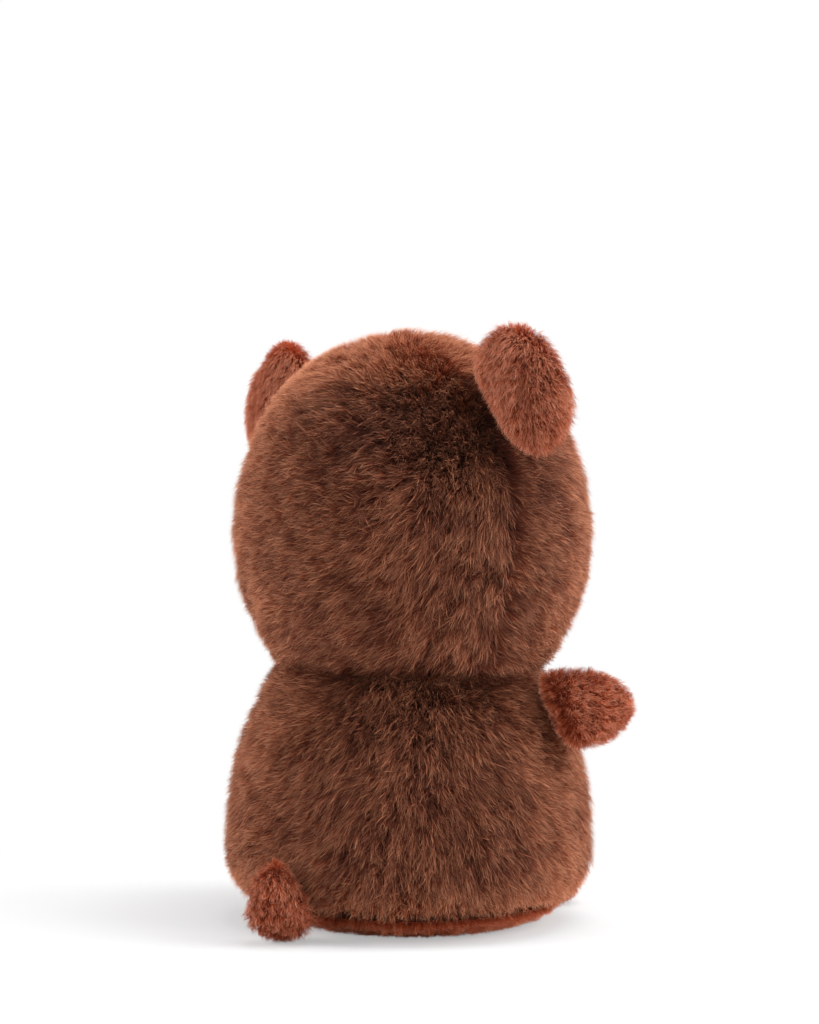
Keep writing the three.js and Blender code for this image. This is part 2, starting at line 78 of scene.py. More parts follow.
# name, metres from the bear towards the camera, to the right and up, and the lamp's width
softboxes = [('left', 0.25, -1.1, 0.6, 0.9), ('right', 0.25, 1.1, 0.6, 0.9), ('top', 0, 0.35, 1.25, 1.0),
             ('front', 1.2, -0.4, 0.5, 1.0)]
for name, ahead, right, up, width in softboxes:
    lamp = bpy.data.lights.new(f'{name}_softbox', 'AREA')
    lamp.shape = 'SQUARE'
    lamp.size = width
    lamp.energy = studio[name]
    box = addObject(f'{name}_softbox', lamp)
    box.location = toCamera * ahead + toRight * right + upward * up
    box.rotation_euler = (Vector((0, 0, 0.08)) - box.location).to_track_quat('-Z', 'Y').to_euler()


class Nodes:
    # short calls for the nodes of one material, or of the world
    def __init__(self, owner):
        owner.use_nodes = True
        self.owner = owner
        self.tree = owner.node_tree
        self.tree.nodes.clear()

    def add(self, kind, **values):
        # in_ before a name sets a socket, and other names set the node's own values
        node = self.tree.nodes.new('ShaderNode' + kind)
        for name, value in values.items():
            if name.startswith('in_'):
                node.inputs[name[3:].replace('_', ' ')].default_value = value
            else:
                setattr(node, name, value)
        return node

    def link(self, source, target):
        # a wire from an output to a socket
        self.tree.links.new(source, target)

    def ramp(self, factor, stops):
        # colours at places from 0 to 1, blended evenly between them
        node = self.add('ValToRGB')
        marks = node.color_ramp.elements
        while len(marks) < len(stops):
            marks.new(0.5)
        for mark, (place, colour) in zip(marks, stops):
            mark.position = place
            mark.color = (*colour, 1)
        self.link(factor, node.inputs['Fac'])
        return node.outputs['Color']

    def pattern(self, kind, **values):
        # a texture on the piece's own coordinates
        node = self.add(kind, **values)
        self.link(self.add('TexCoord').outputs['Object'], node.inputs['Vector'])
        return node

    def give(self, value, socket):
        # a number is set and an output is linked
        if isinstance(value, float):
            socket.default_value = value
        else:
            self.link(value, socket)

    def step(self, operation, first, second):
        # one step of arithmetic on two outputs or numbers
        node = self.add('Math', operation=operation)
        self.give(first, node.inputs[0])
        self.give(second, node.inputs[1])
        return node.outputs[0]

    def bump(self, height, strength, distance):
        # the normal, tilted by the slope of the height
        node = self.add('Bump', in_Strength=strength, in_Distance=distance)
        self.link(height, node.inputs['Height'])
        return node.outputs['Normal']

    def mixed(self, share, first, second, output):
        # two shaders mixed by share into the output
        mix = self.add('MixShader')
        for socket, source in zip(mix.inputs, (share, first.outputs[0], second.outputs[0])):
            self.link(source, socket)
        self.link(mix.outputs[0], self.add(output).inputs[0])

    def surface(self, colour, roughness, normal=None, **values):
        # the material's one shader
        shader = self.add('BsdfPrincipled', **values)
        self.link(colour, shader.inputs['Base Color'])
        self.give(roughness, shader.inputs['Roughness'])
        if normal is not None:
            self.link(normal, shader.inputs['Normal'])
        self.link(shader.outputs[0], self.add('OutputMaterial').inputs[0])
        return self.owner


def newMaterial(name):
    # the nodes of a new material, empty so far
    return Nodes(bpy.data.materials.new(name))


def linear(red, green, blue):
    # a colour written as on a screen, 0 to 255, as a renderer's linear one
    c = np.array([red, green, blue]) / 255
    return tuple(float(v) for v in np.where(c <= 0.04045, c / 12.92, ((c + 0.055) / 1.055) ** 2.4))


def grey(value):
    # the same value for red, green and blue
    return (value, value, value)


world = bpy.context.scene.world = bpy.data.worlds.new('studio')
n = Nodes(world)
path = n.add('LightPath')
seen = n.step('MAXIMUM', path.outputs['Is Camera Ray'], path.outputs['Is Glossy Ray'])
seen = n.step('MAXIMUM', seen, path.outputs['Is Transmission Ray'])
sky = n.add('Background', in_Color=(1, 1, 1, 1), in_Strength=studio['sky'])
backdrop = n.add('Background', in_Color=(1, 1, 1, 1), in_Strength=1.0)
n.mixed(seen, sky, backdrop, 'OutputWorld')

mesh = bpy.data.meshes.new('studio_floor')
half = 6
corners = [(-half, -half, 0), (half, -half, 0), (half, half, 0), (-half, half, 0)]
mesh.from_pydata(corners, [], [(0, 1, 2, 3)])
floor = addObject('studio_floor', mesh)
n = newMaterial('white_paper')
path = n.add('LightPath')
# the paper lights the bear as white, and is seen as grey enough to keep the shadows on it
seen = n.add('Mix', data_type='RGBA')
n.link(path.outputs['Is Camera Ray'], seen.inputs['Factor'])
seen.inputs[6].default_value = (*grey(studio['floorColour']), 1)
seen.inputs[7].default_value = (*grey(studio['floorSeen']), 1)
shader = n.add('BsdfPrincipled', in_Roughness=0.9, in_Specular_IOR_Level=0.1)
n.link(seen.outputs[2], shader.inputs['Base Color'])
# further off, what the camera sees of the paper is clear white
place = n.add('TexCoord')
away = n.add('VectorMath', operation='LENGTH')
n.link(place.outputs['Object'], away.inputs[0])
fade = n.add('MapRange', interpolation_type='SMOOTHSTEP', in_From_Min=studio['clearFrom'],
             in_From_Max=studio['clearTo'], in_To_Min=studio['clearShare'])
n.link(away.outputs['Value'], fade.inputs['Value'])
share = n.step('MULTIPLY', fade.outputs['Result'], path.outputs['Is Camera Ray'])
clear = n.add('Emission', in_Color=(1, 1, 1, 1), in_Strength=1.0)
n.mixed(share, shader, clear, 'OutputMaterial')
mesh.materials.append(n.owner)
print('camera, floor and light made')

# shared sums


def circle(columns):
    # that many angles, evenly spaced once round
    return np.linspace(0, 2 * np.pi, columns, endpoint=False)


def signedPower(value, power):
    # the value's size to the power, with its sign kept
    return np.sign(value) * np.abs(value) ** power


def tapered(share, power):
    # the root of one less the share to the power: from 1 at share 0, round to 0 at share 1
    return np.clip(1 - np.clip(np.abs(share), 0, 1) ** power, 0, 1) ** (1 / power)


def eased(value, low, high):
    # from 0 at low to 1 at high: three times the square of the way less twice its cube
    t = np.clip((value - low) / (high - low), 0, 1)
    return t * t * (3 - 2 * t)


def unit(v):
    # each arrow divided by its length
    return v / np.maximum(np.linalg.norm(v, axis=-1, keepdims=True), 1e-9)


def alongSkin(v, normal):
    # the part of each arrow that lies in the skin
    return v - normal * (v * normal).sum(-1, keepdims=True)


def patchNoise(p, size, seed):
    # random numbers from -1 to 1 on a lattice of that size, eased between its corners
    q = p / size + seed * 13.7
    cell = np.floor(q).astype(np.int64)
    f = q - cell
    f = f * f * (3 - 2 * f)
    total = np.zeros(len(p))
    for corner in range(8):
        step = np.array([corner & 1, corner >> 1 & 1, corner >> 2])
        key = (cell + step) @ np.array([73856093, 19349663, 83492791]) + seed * 91760213
        key = (key ^ (key >> 13)) * 1274126177 & 0x7fffffff
        key = (key ^ (key >> 15)) & 0xffffff
        total += np.prod(np.where(step, f, 1 - f), axis=1) * key / 0xffffff
    return total * 2 - 1


def closedSurface(rings, start, end):
    # a closed mesh through rings (rows, columns, 3), with a fan to one point at each end
    rows, columns = rings.shape[:2]
    points = np.concatenate([[start], rings.reshape(-1, 3), [end]])
    j = np.arange(columns)
    after = (j + 1) % columns
    i = 1 + np.arange(rows - 1)[:, None] * columns
    a, b = i + j, i + after
    wall = np.concatenate([np.stack([a, b, b + columns], -1), np.stack([a, b + columns, a + columns], -1)])
    wall = wall.reshape(-1, 3)
    top = 1 + (rows - 1) * columns
    first = np.stack([0 * j, 1 + after, 1 + j], -1)
    last = np.stack([top + j, top + after, 0 * j + len(points) - 1], -1)
    return points, np.concatenate([first, wall, last])


def surfaceNormals(points, triangles):
    # at each point the sum of its triangles' cross products, made one long
    a, b, c = (points[triangles[:, k]] for k in range(3))
    face = np.cross(b - a, c - a)
    total = np.zeros_like(points)
    for k in range(3):
        np.add.at(total, triangles[:, k], face)
    return unit(total)


def facingOut(points, triangles):
    # turns the faces of a closed mesh outwards, by the sign of the volume that they enclose
    a, b, c = (points[triangles[:, k]] - points.mean(0) for k in range(3))
    return triangles if (a * np.cross(b, c)).sum() > 0 else triangles[:, ::-1]


def linkMesh(name, points, triangles, material, uv=None):
    # a smooth mesh from arrays in millimetres, with its object at the origin
    mesh = bpy.data.meshes.new(name)
    mesh.vertices.add(len(points))
    mesh.vertices.foreach_set('co', (np.asarray(points, np.float64) * mm).astype(np.float32).ravel())
    mesh.loops.add(triangles.size)
    mesh.loops.foreach_set('vertex_index', triangles.astype(np.int32).ravel())
    mesh.polygons.add(len(triangles))
    mesh.polygons.foreach_set('loop_start', np.arange(0, triangles.size, 3, dtype=np.int32))
    mesh.polygons.foreach_set('use_smooth', np.ones(len(triangles), bool))
    if uv is not None:
        layer = mesh.uv_layers.new(name='OFBake')
        layer.data.foreach_set('uv', uv[triangles.ravel()].astype(np.float32).ravel())
    mesh.update(calc_edges=True)
    mesh.materials.append(material)
    return addObject(name, mesh)


# materials of the covers

# colours along a strand, a dark and a pale set; the near-black roots are painted shade deep in the pile
brownDyeAndShade = dict(root=(28, 9, 4), rootPale=(60, 21, 9), middle=(56, 18, 7), middlePale=(146, 61, 28),
                tip=(88, 34, 15), tipPale=(252, 178, 136))
rustDyeAndShade = dict(root=(88, 27, 12), rootPale=(152, 60, 32), middle=(128, 45, 20), middlePale=(218, 108, 64),
               tip=(160, 68, 38), tipPale=(255, 200, 166))

dyeAndShadeStops = [(0.0, 'root'), (0.45, 'middle'), (1.0, 'tip')]  # places along a strand


def makePileMaterial(name, dyeAndShade, sheenColour, sheen):
    # The strand's own map gives its shade across (dark to pale), which holds its tone and the painted light
    # and shade of the coat, and the place along it (root to tip), with the root end darkened as painted shade
    # deep in the pile.
    n = newMaterial(name)
    uvMap = n.add('UVMap', uv_map='OFBake')
    split = n.add('SeparateXYZ')
    n.link(uvMap.outputs['UV'], split.inputs[0])
    colour = n.add('Mix', data_type='RGBA')
    n.link(split.outputs['X'], colour.inputs['Factor'])
    for socket, kind in (('A', ''), ('B', 'Pale')):
        stops = [(at, linear(*dyeAndShade[part + kind])) for at, part in dyeAndShadeStops]
        n.link(n.ramp(split.outputs['Y'], stops), colour.inputs[socket])
    rough = n.ramp(split.outputs['Y'], [(0.0, grey(0.85)), (1.0, grey(0.58))])
    return n.surface(colour.outputs['Result'], rough, in_Specular_IOR_Level=0.18, in_Sheen_Weight=sheen,
                     in_Sheen_Roughness=0.45, in_Sheen_Tint=(*sheenColour, 1))


def makeBackingMaterial(name, dark, pale):
    # knitted backing cloth, as it shows between the roots of the pile
    n = newMaterial(name)
    knit = n.pattern('TexVoronoi', in_Scale=1400.0)
    patches = n.pattern('TexNoise', in_Scale=260.0, in_Detail=4.0)
    colour = n.ramp(patches.outputs['Fac'], [(0.3, linear(*dark)), (0.75, linear(*pale))])
    rough = n.ramp(patches.outputs['Fac'], [(0.2, grey(0.8)), (0.8, grey(0.97))])
    return n.surface(colour, rough, n.bump(knit.outputs['Distance'], 0.5, 0.0002), in_Specular_IOR_Level=0.15)


pile = dict(brown=makePileMaterial('brown_pile', brownDyeAndShade, linear(224, 166, 124), 0.12),
            rust=makePileMaterial('rust_pile', rustDyeAndShade, linear(244, 166, 130), 0.09))
cloth = dict(brown_pile=makeBackingMaterial('brown_backing', (26, 11, 7), (54, 25, 15)),
             rust_pile=makeBackingMaterial('rust_backing', (92, 36, 20), (136, 60, 37)))
print('pile materials made')

# the sewn covers: closed skins of backing cloth that the pile grows on

pileDepth = dict(brown=3.5, rust=2.0)  # from the backing to where the tips lie
neckHeight = 62
bodySize = dict(halfWidth=45.5, front=42, back=45, widest=19, rise=62, drop=22, crownPower=2.1, hemPower=2.6,
                planPower=2.15, sideSeam=-8, baseSeam=5)
headSize = dict(halfWidth=46.5, front=42, back=42, widest=34 + neckHeight, rise=50, drop=49.5,
                crownPower=2.05, hemPower=2, planPower=2.1, sideSeam=8.5)
headTurn = -7  # degrees, towards the bear's own right


def shareAt(size, z, inset):
    # the share of the full width at level z: tapered with one power above the widest level
    # and with another below it
    above = z > size['widest']
    distance = (z - size['widest']) / (np.where(above, size['rise'], size['drop']) - inset)
    return np.where(above, tapered(distance, size['crownPower']), tapered(distance, size['hemPower']))


def roundPoint(size, angle, z, inset, shrink=1.0):
    # a superelliptic plan: powers of the cosine and sine, times the half widths and the share of them at z
    share = shareAt(size, z, inset) * shrink
    depth = np.where(np.sin(angle) > 0, size['back'] - inset, size['front'] - inset)
    x = (size['halfWidth'] - inset) * signedPower(np.cos(angle), 2 / size['planPower']) * share
    y = depth * signedPower(np.sin(angle), 2 / size['planPower']) * share
    return np.stack([x, y, z + 0 * x], -1)


def roundSkin(size, inset, low, high, columns=96, rows=48):
    # The wall runs up from low to high. At a cut end the skin turns in over a few rings to a flat cap.
    angle = circle(columns)
    bottom, top = size['widest'] - size['drop'] + inset, size['widest'] + size['rise'] - inset
    low, high = max(low, bottom + 0.02), min(high, top - 0.02)
    z = (low + high) / 2 - (high - low) / 2 * np.cos(np.linspace(0, np.pi, rows))[:, None]
    wall = roundPoint(size, angle, z, inset)
    shrink = np.array([0.3, 0.6, 0.85, 0.96])[:, None]
    under = roundPoint(size, angle, z[:1] + 0 * shrink, inset, shrink)
    over = roundPoint(size, angle, z[-1:] + 0 * shrink, inset, shrink[::-1])
    rings = np.concatenate([under, wall, over])
    return closedSurface(rings, [0, 0, z[0, 0]], [0, 0, z[-1, 0]])


def fitPiece(piece, body, nodes):
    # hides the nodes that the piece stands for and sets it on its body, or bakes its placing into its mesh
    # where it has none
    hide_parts(*nodes)
    if body:
        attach(piece, body)
    else:
        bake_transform(piece)


def sewSkin(name, body, skin, slot, nodes):
    # one cover or filling, made of a closed skin
    piece = linkMesh(name, *skin, cloth[slot])
    fitPiece(piece, body, nodes)


bodySkin = roundSkin(bodySize, pileDepth['brown'], bodySize['baseSeam'] - 0.6, neckHeight - 0.2)
sewSkin('body_cover', 'body', bodySkin, 'brown_pile', ['back_panel_left', 'back_panel_right', 'belly_panel'])
baseSkin = roundSkin(bodySize, pileDepth['rust'], 0.5, bodySize['baseSeam'] + 0.1, rows=8)
sewSkin('base_cover', 'body', baseSkin, 'rust_pile', ['base_panel'])


def inFrame(p, origin, axes):
    # from the bear's frame into a piece's own; axes holds its three directions as rows
    return (p - origin) @ np.linalg.inv(axes)


def levelAxes(heading):
    # x turned by the heading about the upright, y a quarter turn further on, and z up
    a = np.radians(heading)
    return np.array([[np.cos(a), np.sin(a), 0], [-np.sin(a), np.cos(a), 0], [0, 0, 1]])


headAxes = levelAxes(headTurn)


def headRounded(inset, low):
    # a skin of the head's form, turned with the head
    points, triangles = roundSkin(headSize, inset, low, 200)
    return points @ headAxes, triangles


headSkin = headRounded(pileDepth['brown'], neckHeight + 0.2)
sewSkin('head_cover', None, headSkin, 'brown_pile', ['head_back_left', 'head_back_right', 'face_panel'])
print('body, base and head covers made')

# limbs, ears, feet and muzzle

armSize = dict(seat=(45.139, -6.715, 53.81), heading=-40.461, slope=-0.4186, root=6.2, reach=15.7,
               halfHeight=9.8, halfWidth=7.4, rootPower=3.5, tipPower=1.9, sectionPower=2.2, flare=0,
               droop=-2.9)
tailSize = dict(seat=(0, 47.352, 10.4), heading=116, slope=0.42, root=3.6, reach=8.2, halfHeight=10.5,
                halfWidth=8.4, rootPower=3, tipPower=2.6, sectionPower=2.1, flare=0.5, droop=0.9)
earSize = dict(angle=35.4, halfWidth=17, reach=16.5, thickness=8, outlinePower=2.4, cup=2.6, twist=3, lean=6,
               clearance=0.5)
footSize = dict(spacing=28, height=6.4, halfWidth=9.5, halfLength=11, halfHeight=7.5, seatOut=0.5)
muzzleSize = dict(rise=22, halfWidth=13, halfLength=8.5, halfHeight=9.5, pileEnd=-37.5)
noseThread = dict(halfWidth=4.6, halfHeight=3.0, above=3.4, threads=27, radius=0.24, bulge=0.95)
mouthThread = dict(arch=2.25, gap=0.3, radius=0.55, turn=3.4)
mouthTop = noseThread['above'] - noseThread['halfHeight'] - mouthThread['gap']
eyeSize = dict(spacing=34, rise=34, radius=4, dome=2.4, edge=0.35, seatDepth=0.9, stemRadius=1.7,
               stemEnd=10.2)


def limbSkin(size, columns=44, rows=36):
    # Along x from a round root to a tapered tip: the section is a superellipse that may flare downwards.
    inset = pileDepth['rust']
    root, reach = size['root'] - inset, size['reach'] - inset
    halfHeight, halfWidth = size['halfHeight'] - inset, size['halfWidth'] - inset
    x = ((reach - root) / 2 - (reach + root) / 2 * np.cos(np.linspace(0, np.pi, rows + 2)[1:-1]))[:, None]
    bulge = eased(x, 0, reach * 0.5)
    ahead = (root + (halfWidth - root) * bulge) * tapered(x / reach, size['tipPower'])
    width = np.where(x < 0, np.sqrt(np.clip(root ** 2 - x ** 2, 0, None)), ahead)
    behind, before = tapered(x / root, size['rootPower']), tapered(x / reach, size['tipPower'])
    height = halfHeight * np.where(x < 0, behind, before)
    drop = size['droop'] * np.clip(x / size['reach'], 0, None)
    angle = circle(columns)
    rise = signedPower(np.sin(angle), 2 / size['sectionPower'])
    across = signedPower(np.cos(angle), 2 / size['sectionPower'])
    y = width * (1 - size['flare'] * bulge * rise) * across
    z = height * rise - drop
    rings = np.stack([x + size['slope'] * z, y, z], -1)
    return closedSurface(rings, [-root, 0, 0], [reach - size['slope'] * size['droop'], 0, -size['droop']])


def earSeat(sign):
    # the ear's hinge point and its directions: along its base, out from the head, and back
    size = earSize
    ridge = headSize['halfWidth'] * tapered(headSize['sideSeam'] / headSize['back'], headSize['planPower'])
    power = 2 / headSize['crownPower']

    def profile(turn):
        # the head's outline at its side seam, a superellipse
        return np.array([sign * ridge * np.cos(turn) ** power, headSize['sideSeam'],
                         headSize['widest'] + headSize['rise'] * np.sin(turn) ** power])

    turn = np.radians(size['angle'])
    along = unit(profile(turn - 0.02) - profile(turn + 0.02))
    back = np.array([0.0, 1, 0])
    outward = np.cross(along, back) * sign
    across = np.cross(outward, back)
    t = -sign * np.radians(size['twist'])
    axes = np.array([np.cos(t) * across - np.sin(t) * back, outward, np.sin(t) * across + np.cos(t) * back])
    lean = np.radians(size['lean'])
    axes = np.array([axes[0], np.cos(lean) * axes[1] - np.sin(lean) * axes[2],
                     np.sin(lean) * axes[1] + np.cos(lean) * axes[2]])
    seat = profile(turn) + outward * (size['thickness'] / 2 + size['clearance'])
    return seat @ headAxes, axes @ headAxes


earCrease = dict(place=7.1, width=1.6, depth=1.3)  # it runs from the rim down to the lower end of the base


def creasePlace(x, y, sign):
    # how far out a point of an ear lies, measured across the crease; sign is 1 for the left ear
    return -0.53 * sign * x + 0.85 * y


def earSkin(sign, columns=72):
    # Two superelliptic faces meet at the rim. They cup forward, and a diagonal crease crosses the back one.
    size, inset = earSize, pileDepth['rust']
    half, middleY = size['thickness'] / 2, size['reach'] * 0.16
    halfWidth, reach = size['halfWidth'] - inset, size['reach'] - inset
    headRadius = (headSize['halfWidth'] + headSize['rise']) / 2
    turn = circle(columns)
    shares = np.sin(np.linspace(0, np.pi / 2, 17)[1:])[:, None]

    def face(side):
        # x and y run out from the middle to the outline, and z is the curl with half the thickness,
        # tapered to the rim, on one side of it
        across = signedPower(np.cos(turn), 2 / size['outlinePower']) * shares
        up = signedPower(np.sin(turn), 2 / size['outlinePower']) * shares
        x = halfWidth * across
        base = -half + inset - x ** 2 / (2 * headRadius)
        y = middleY + up * np.where(up > 0, reach - middleY, middleY - base)
        curl = -size['cup'] * (across ** 2 + np.clip(up, 0, None) ** 2)
        z = curl + side * (half - inset * 0.8) * tapered(shares, 3.2)
        if side > 0:
            offCrease = (creasePlace(x, y, sign) - earCrease['place']) / earCrease['width']
            z = z - earCrease['depth'] * np.exp(-offCrease ** 2)
        return np.stack([x, y, z + 0 * x], -1)

    # the centres of both faces close the ends
    rings = np.concatenate([face(-1), face(1)[:-1][::-1]])
    thick = half - inset * 0.8
    return closedSurface(rings, np.array([0, middleY, -thick]), np.array([0, middleY, thick]))


def ellipsoidSkin(size, columns=48, rows=28):
    # level rings: the cosine of the tilt across and its sine up, times the half sizes
    halves = np.array([size['halfWidth'], size['halfLength'], size['halfHeight']]) - pileDepth['rust']
    angle = circle(columns)
    tilt = np.linspace(-np.pi / 2, np.pi / 2, rows + 2)[1:-1, None]
    rings = halves * np.stack([np.cos(tilt) * np.cos(angle), np.cos(tilt) * np.sin(angle),
                               np.sin(tilt) + 0 * angle], -1)
    return closedSurface(rings, [0, 0, -halves[2]], [0, 0, halves[2]])


def frontDepth(size, x, z):
    # y of a round form's front at x and z, from its superelliptic plan at that level
    share = shareAt(size, np.array(float(z)), 0)
    return float(-size['front'] * share * tapered(x / (size['halfWidth'] * share), size['planPower']))


skins = {}  # name: the skin, its origin and axes, the body that it rides on and the nodes that it stands for


def sewRust(name, body, kind, skin, origin, axes, nodes, fill):
    # a skin given in its own frame, put in place and kept for the pile
    points, triangles = skin
    if np.linalg.det(axes) < 0:
        triangles = triangles[:, ::-1]
    origin = np.asarray(origin)
    skins[name] = ((origin + points @ axes, triangles), origin, axes, body, nodes)
    sewSkin(f'{name}_{kind}', body, skins[name][0], 'rust_pile', nodes)


for side, sign in sides.items():
    name, seat = f'{side}_arm', np.array(armSize['seat']) * [sign, 1, 1]
    heading = armSize['heading'] if sign > 0 else 180 - armSize['heading']
    sewRust(name, name, 'cover', limbSkin(armSize), seat, levelAxes(heading),
            [f'{name}_back', f'{name}_front'], 0.8)
    name = f'{side}_ear'
    sewRust(name, name, 'cover', earSkin(sign), *earSeat(sign), [f'{name}_back', f'{name}_front'], 0.6)
    name, size = f'{side}_foot', footSize
    x, z = sign * size['spacing'] / 2, size['height']
    centre = np.array([x, frontDepth(bodySize, x, z) - size['seatOut'], z])
    sewRust(name, 'body', 'pad', ellipsoidSkin(size), centre, np.eye(3), [f'{name}_cover'], 0.8)

sewRust('tail', 'tail', 'cover', limbSkin(tailSize), tailSize['seat'], levelAxes(tailSize['heading']),
        ['tail_left_panel', 'tail_right_panel'], 0.7)
muzzleLevel = neckHeight + muzzleSize['rise']
muzzleMiddle = np.array([0, frontDepth(headSize, 0, muzzleLevel), muzzleLevel])
sewRust('muzzle', 'head', 'pad', ellipsoidSkin(muzzleSize), muzzleMiddle @ headAxes, headAxes,
        ['muzzle_cover'], 0.8)
print('arms, ears, feet, tail and muzzle made')

# the pile

# Roots and down are counted for each square millimetre, and widths and lengths are in millimetres.
# downShade shifts the tone of the down; below zero it is painted shade between the clumps
longCoat = dict(perArea=1.3, strands=6, spread=0.5, gather=0.3, length=5.4, width=0.13, wander=0.2, curl=0.45,
                guard=0.08, down=6.0, downLength=3.2, downWidth=0.17, downRise=0.66, downShade=-0.14)
shortCoat = dict(perArea=1.5, strands=10, spread=0.4, gather=0.4, length=2.7, width=0.12, wander=0.24,
                 curl=0.3, guard=0.07, down=7.0, downLength=1.6, downWidth=0.18, downRise=0.7,
                 downShade=-0.04)
earCoat = dict(shortCoat, perArea=2.6, strands=6, spread=0.32, gather=0.3, length=3.0, wander=0.16, down=9.0,
               guard=0.05, downShade=0.02)
baseCoat = dict(shortCoat, perArea=1.1, down=5.0)
strandRings, downRings = [0, 0.5, 1], [0, 0.55, 1]  # shares of a strand's length


def scatterRoots(points, triangles, perArea, keep):
    # roots spread evenly over the skin where keep says so, with the skin's direction at each
    normals = surfaceNormals(points, triangles)
    a, b, c = (points[triangles[:, k]] for k in range(3))
    area = np.linalg.norm(np.cross(b - a, c - a), axis=1) / 2
    sums = np.cumsum(area)
    pick = np.searchsorted(sums, rng.random(int(sums[-1] * perArea)) * sums[-1])
    s, t = rng.random((2, len(pick)))
    s, t = np.where(s + t > 1, 1 - s, s)[:, None], np.where(s + t > 1, 1 - t, t)[:, None]
    tri = triangles[pick]
    mixed = [v[tri[:, 0]] * (1 - s - t) + v[tri[:, 1]] * s + v[tri[:, 2]] * t for v in (points, normals)]
    kept = keep(mixed[0])
    return mixed[0][kept], unit(mixed[1][kept])


def varied(count, share):
    # for each of count, 1 and a random share of it more or less
    return 1 + rng.normal(0, share, count)


def ribbonMesh(root, normal, heading, reach, height, sideways, width, shade, rings):
    # Each strand rises from its root, bends over along its heading and narrows to a point. Its two edges lie
    # across the bend, rolled a little at random. The map holds the shade across and the place along.
    count = len(root)
    side = unit(np.cross(normal, heading))
    roll = np.clip(rng.normal(0, 0.5, count), -1.0, 1.0)[:, None]
    across = side * np.cos(roll) + normal * np.sin(roll)
    t = np.array(rings)[None, :, None]
    path = (root[:, None] + heading[:, None] * reach[:, None, None] * t ** 1.3
            + normal[:, None] * height[:, None, None] * (1 - (1 - t) ** 1.9)
            + side[:, None] * sideways[:, None, None] * t ** 2)
    half = (width[:, None] / 2 * (1 - 0.6 * np.array(rings[:-1])[None, :]))[..., None]
    left, right = path[:, :-1] - across[:, None] * half, path[:, :-1] + across[:, None] * half
    body = np.stack([left, right], 2).reshape(count, -1, 3)
    points = np.concatenate([body, path[:, -1:]], 1)
    per = points.shape[1]
    one = []
    for k in range(0, per - 3, 2):
        one += [(k + 1, k, k + 2), (k + 1, k + 2, k + 3)]
    one.append((per - 2, per - 3, per - 1))
    triangles = (np.arange(count)[:, None, None] * per + np.array(one)[None]).reshape(-1, 3)
    v = np.repeat(np.array(rings[:-1]), 2).tolist() + [1.0]
    u = np.clip(shade, 0.03, 0.97)[:, None] + np.array([-0.004, 0.004] * (len(rings) - 1) + [0.0])[None]
    uv = np.stack([u, np.clip(0 * u + np.array(v)[None], 0.02, 0.98)], -1)
    return points.reshape(-1, 3), triangles, uv.reshape(-1, 2)


def growStrands(skin, coat, depth, keep, flow, shade, rise):
    # long strands in clumps that share a root patch and draw together towards their tips
    centre, normal = scatterRoots(*skin, coat['perArea'], keep)
    count = len(centre)
    arrow = alongSkin(flow(centre, normal), normal)
    strength = np.clip(np.linalg.norm(arrow, axis=1), 0.05, 1)
    heading = unit(arrow + 1e-6)
    swing = (rng.normal(0, coat['wander'], count) * (1 + 4 * (1 - strength)))[:, None]
    heading = unit(heading * np.cos(swing) + np.cross(normal, heading) * np.sin(swing))
    clumpShade = shade(centre, normal) + rng.normal(0, 0.1, count)
    clumpHeight = depth * rise(centre, normal) * varied(count, 0.1)
    clumpLength = coat['length'] * varied(count, 0.1)
    clumpCurl = rng.normal(0, coat['curl'], count)

    pick = np.repeat(np.arange(count), coat['strands'])
    total = len(pick)
    n, f = normal[pick], heading[pick]
    side = np.cross(n, f)
    offset = rng.normal(0, coat['spread'], (2, total))
    root = centre[pick] + f * offset[0][:, None] + side * offset[1][:, None]
    height = np.clip(clumpHeight[pick] * varied(total, 0.13), 0.4, depth * 1.35)
    length = np.maximum(clumpLength[pick] * varied(total, 0.16), height * 1.02)
    reach = np.sqrt(length ** 2 - height ** 2) * strength[pick] - offset[0] * coat['gather']
    f = unit(f + side * rng.normal(0, 0.14, total)[:, None])
    sideways = clumpCurl[pick] - offset[1] * coat['gather'] + rng.normal(0, 0.25, total)
    guard = rng.random(total) < coat['guard']  # a few strands are thicker and paler than the rest
    width = coat['width'] * varied(total, 0.2) * (1 + 0.6 * guard)
    tone = clumpShade[pick] + rng.normal(0, 0.14, total) + 0.45 * guard
    return ribbonMesh(root, n, f, reach, height, sideways, width, tone, strandRings)


def growDown(skin, coat, depth, keep, flow, shade, rise):
    # shorter, more upright strands that fill the coat between the clumps
    root, normal = scatterRoots(*skin, coat['down'], keep)
    total = len(root)
    arrow = alongSkin(flow(root, normal), normal)
    heading = unit(unit(arrow + 1e-6) + alongSkin(rng.normal(0, 0.35, (total, 3)), normal))
    height = depth * rise(root, normal) * coat['downRise'] * varied(total, 0.15)
    length = np.maximum(coat['downLength'] * varied(total, 0.15), height * 1.05)
    reach = np.sqrt(length ** 2 - height ** 2) * np.clip(np.linalg.norm(arrow, axis=1), 0.1, 1)
    # the down's tone shifted by downShade: painted shade between the clumps where it is below zero
    tone = shade(root, normal) + coat['downShade'] + rng.normal(0, 0.1, total)
    return ribbonMesh(root, normal, heading, reach, height, rng.normal(0, 0.3, total),
                      np.full(total, coat['downWidth']), tone, downRings)


faceCount = []


